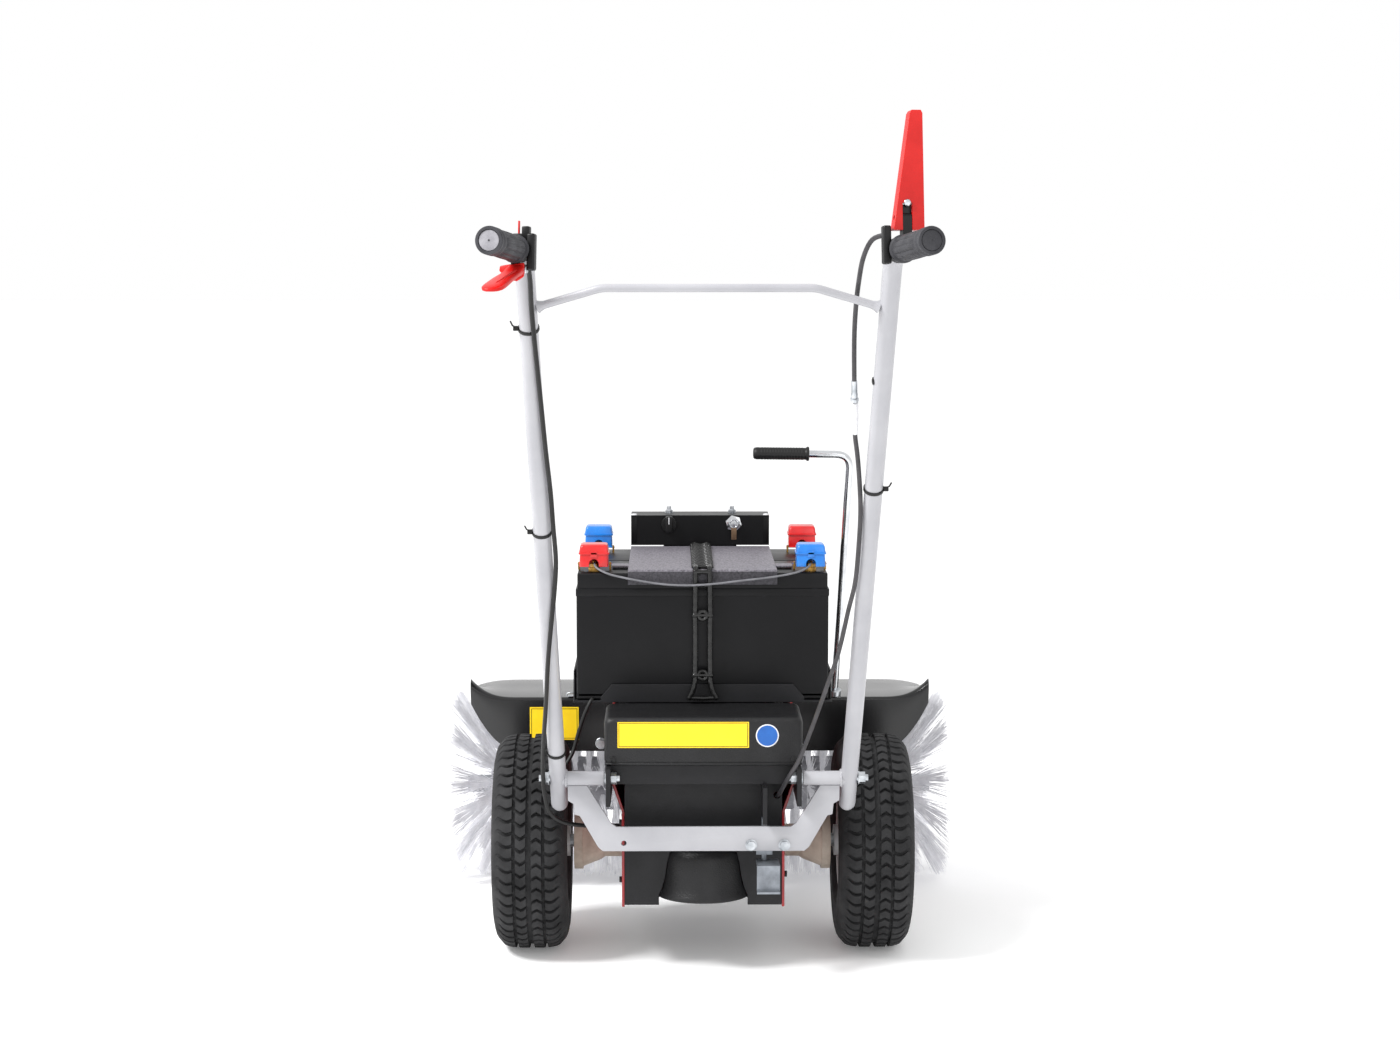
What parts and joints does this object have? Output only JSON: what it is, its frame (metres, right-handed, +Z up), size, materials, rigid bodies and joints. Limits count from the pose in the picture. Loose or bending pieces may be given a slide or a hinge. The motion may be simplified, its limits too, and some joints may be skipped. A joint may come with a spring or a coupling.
{
  "type": "walk behind sweeper",
  "caption": "Battery walk-behind sweeper: two driven wheels, leaning twin-tube handle with lever controls, and a hooded roller brush that swings to either side.",
  "frame": {"origin": "on the ground under the middle of the machine's length and width; the wheel axle is 113 mm ahead of it", "axes": "+X to the machine's right as its operator stands, +Y the way it drives, +Z up"},
  "size_m": [0.848, 1.5262, 1.2494],
  "materials": {
    "red_paint": "satin red powder coat",
    "black_paint": "fine textured black powder coat",
    "white_paint": "light grey powder coat",
    "rim_paint": "white rim paint",
    "black_moulding": "pebbled black moulding",
    "battery_case": "satin black battery case",
    "clamp_plate": "textured dark grey coat",
    "strap_rubber": "black rubber",
    "brass": "turned brass",
    "wire_grey": "thin grey lead",
    "cable_black": "black cable sheath",
    "cap_red": "gloss red",
    "cap_blue": "gloss blue",
    "zinc": "zinc plated",
    "chrome": "polished chrome",
    "cast_alloy": "rough sand casting",
    "motor_body": "dark grey motor case",
    "heat_sink": "extruded aluminium",
    "tyre_rubber": "black tyre",
    "belt_rubber": "black belt",
    "bristle": "stiff white bristles",
    "grip_rubber": "ribbed dark grey rubber",
    "lever_red": "red moulded plastic",
    "black_plastic": "black plastic",
    "spring_steel": "spring steel"
  },
  "bodies": {
    "chassis": {"side_plate_left": "red_paint", "side_plate_right": "red_paint", "rear_panel": "black_paint", "battery_tray": "black_paint", "rear_cover": "black_moulding", "controller": "heat_sink", "bell_cover": "black_moulding", "drive_motor": "motor_body", "transaxle": "cast_alloy", "handle_mount": "black_paint", "hinge_pins": "zinc", "battery_rear": "battery_case", "battery_front": "battery_case", "battery_clamp": "clamp_plate", "hold_down_strap": "strap_rubber", "terminal_bolts": "brass", "battery_wire": "wire_grey", "control_box": "black_paint", "head_bracket": "black_paint", "traction_belt": "belt_rubber"},
    "knob": {"control_knob": "black_plastic"},
    "key": {"key_switch": "chrome"},
    "cap_left_rear": {"cap_red_rear": "cap_red"},
    "cap_right_rear": {"cap_blue_rear": "cap_blue"},
    "cap_left_front": {"cap_blue_front": "cap_blue"},
    "cap_right_front": {"cap_red_front": "cap_red"},
    "motor_drive": {"motor_pulley": "zinc"},
    "axle_drive": {"transaxle_pulley": "zinc"},
    "idler": {"idler_arm": "zinc"},
    "wheel_left": {"tyre_left": "tyre_rubber", "rim_left": "rim_paint", "axle_shaft_left": "zinc"},
    "wheel_right": {"tyre_right": "tyre_rubber", "rim_right": "rim_paint", "axle_shaft_right": "zinc"},
    "brush_head": {"head_frame": "black_paint", "gear_case": "cast_alloy", "brush_motor": "motor_body", "hood": "black_paint", "swing_lever": "chrome", "swing_grip": "black_plastic"},
    "brush": {"brush_shaft": "zinc", "brush_left": "bristle", "brush_right": "bristle"},
    "handle": {"handle_tube_left": "white_paint", "handle_tube_right": "white_paint", "crossbar": "white_paint", "yoke": "white_paint", "grip_left": "grip_rubber", "grip_right": "grip_rubber", "lever_brackets": "black_plastic", "latch_bracket": "zinc", "yoke_bolts": "zinc", "cable_ties": "black_plastic", "cable_left": "cable_black", "cable_right": "cable_black", "latch_spring": "spring_steel"},
    "right_lever": {"drive_lever": "lever_red"},
    "left_lever": {"brush_lever": "lever_red"},
    "latch": {"latch_pedal": "zinc"}
  },
  "joints": [
    {"name": "handle_tilt", "type": "hinge", "parent": "chassis", "child": "handle", "pos_m": [0, -0.084, 0.3], "axis": [1, 0, 0], "range_deg": [-15, 12], "deforming": ["cable_left", "cable_right"]},
    {"name": "drive_lever_squeeze", "type": "hinge", "parent": "handle", "child": "right_lever", "pos_m": [0.24599, -0.63006, 1.1152], "axis": [0.9751, 0.2215, 0], "range_deg": [0, 75], "stiffness_Nm_per_rad": 0.6, "springref_deg": -22.92},
    {"name": "brush_lever_squeeze", "type": "hinge", "parent": "handle", "child": "left_lever", "pos_m": [-0.23987, -0.63925, 1.05112], "axis": [-0.9751, 0.2215, 0], "range_deg": [0, 12], "stiffness_Nm_per_rad": 0.6, "springref_deg": -22.92},
    {"name": "latch_press", "type": "slide", "parent": "handle", "child": "latch", "axis": [0, 0, -1], "range_m": [0, 0.009], "stiffness_N_per_m": 1500, "springref_m": -0.008, "deforming": ["latch_spring"]},
    {"name": "head_swing", "type": "hinge", "parent": "chassis", "child": "brush_head", "pos_m": [0, 0.375, 0.225], "axis": [0, 0, 1], "range_deg": [-15, 15]},
    {"name": "brush_spin", "type": "hinge", "parent": "brush_head", "child": "brush", "pos_m": [0, 0.603, 0.16], "axis": [1, 0, 0], "continuous": true},
    {"name": "wheel_left_spin", "type": "hinge", "parent": "chassis", "child": "wheel_left", "pos_m": [-0.262, 0.113, 0.165], "axis": [1, 0, 0], "continuous": true},
    {"name": "wheel_right_spin", "type": "hinge", "parent": "chassis", "child": "wheel_right", "pos_m": [0.262, 0.113, 0.165], "axis": [1, 0, 0], "continuous": true},
    {"name": "axle_drive_spin", "type": "hinge", "parent": "chassis", "child": "axle_drive", "pos_m": [0, 0.113, 0.22], "axis": [0, 0, 1], "continuous": true},
    {"name": "motor_spin", "type": "hinge", "parent": "chassis", "child": "motor_drive", "pos_m": [0, -0.012, 0.22], "axis": [0, 0, 1], "continuous": true},
    {"name": "idler_swing", "type": "hinge", "parent": "chassis", "child": "idler", "pos_m": [0.088, 0.098, 0.214], "axis": [0, 0, 1], "range_deg": [-13.5, 0]},
    {"name": "knob_turn", "type": "hinge", "parent": "chassis", "child": "knob", "pos_m": [-0.051, 0.391, 0.63], "axis": [0, 1, 0], "range_deg": [-135, 135]},
    {"name": "key_turn", "type": "hinge", "parent": "chassis", "child": "key", "pos_m": [0.055, 0.391, 0.632], "axis": [0, 1, 0], "range_deg": [0, 90]},
    {"name": "cap_left_rear_open", "type": "hinge", "parent": "chassis", "child": "cap_left_rear", "pos_m": [-0.165, 0.104, 0.5975], "axis": [-1, 0, 0], "range_deg": [0, 100]},
    {"name": "cap_right_rear_open", "type": "hinge", "parent": "chassis", "child": "cap_right_rear", "pos_m": [0.165, 0.104, 0.5975], "axis": [-1, 0, 0], "range_deg": [0, 100]},
    {"name": "cap_left_front_open", "type": "hinge", "parent": "chassis", "child": "cap_left_front", "pos_m": [-0.165, 0.346, 0.5975], "axis": [1, 0, 0], "range_deg": [0, 100]},
    {"name": "cap_right_front_open", "type": "hinge", "parent": "chassis", "child": "cap_right_front", "pos_m": [0.165, 0.346, 0.5975], "axis": [1, 0, 0], "range_deg": [0, 100]}
  ],
  "couplings": [
    {"joint": "motor_spin", "follows": "axle_drive_spin", "ratio": 2.8},
    {"joint": "idler_swing", "follows": "drive_lever_squeeze", "ratio": -0.18}
  ]
}
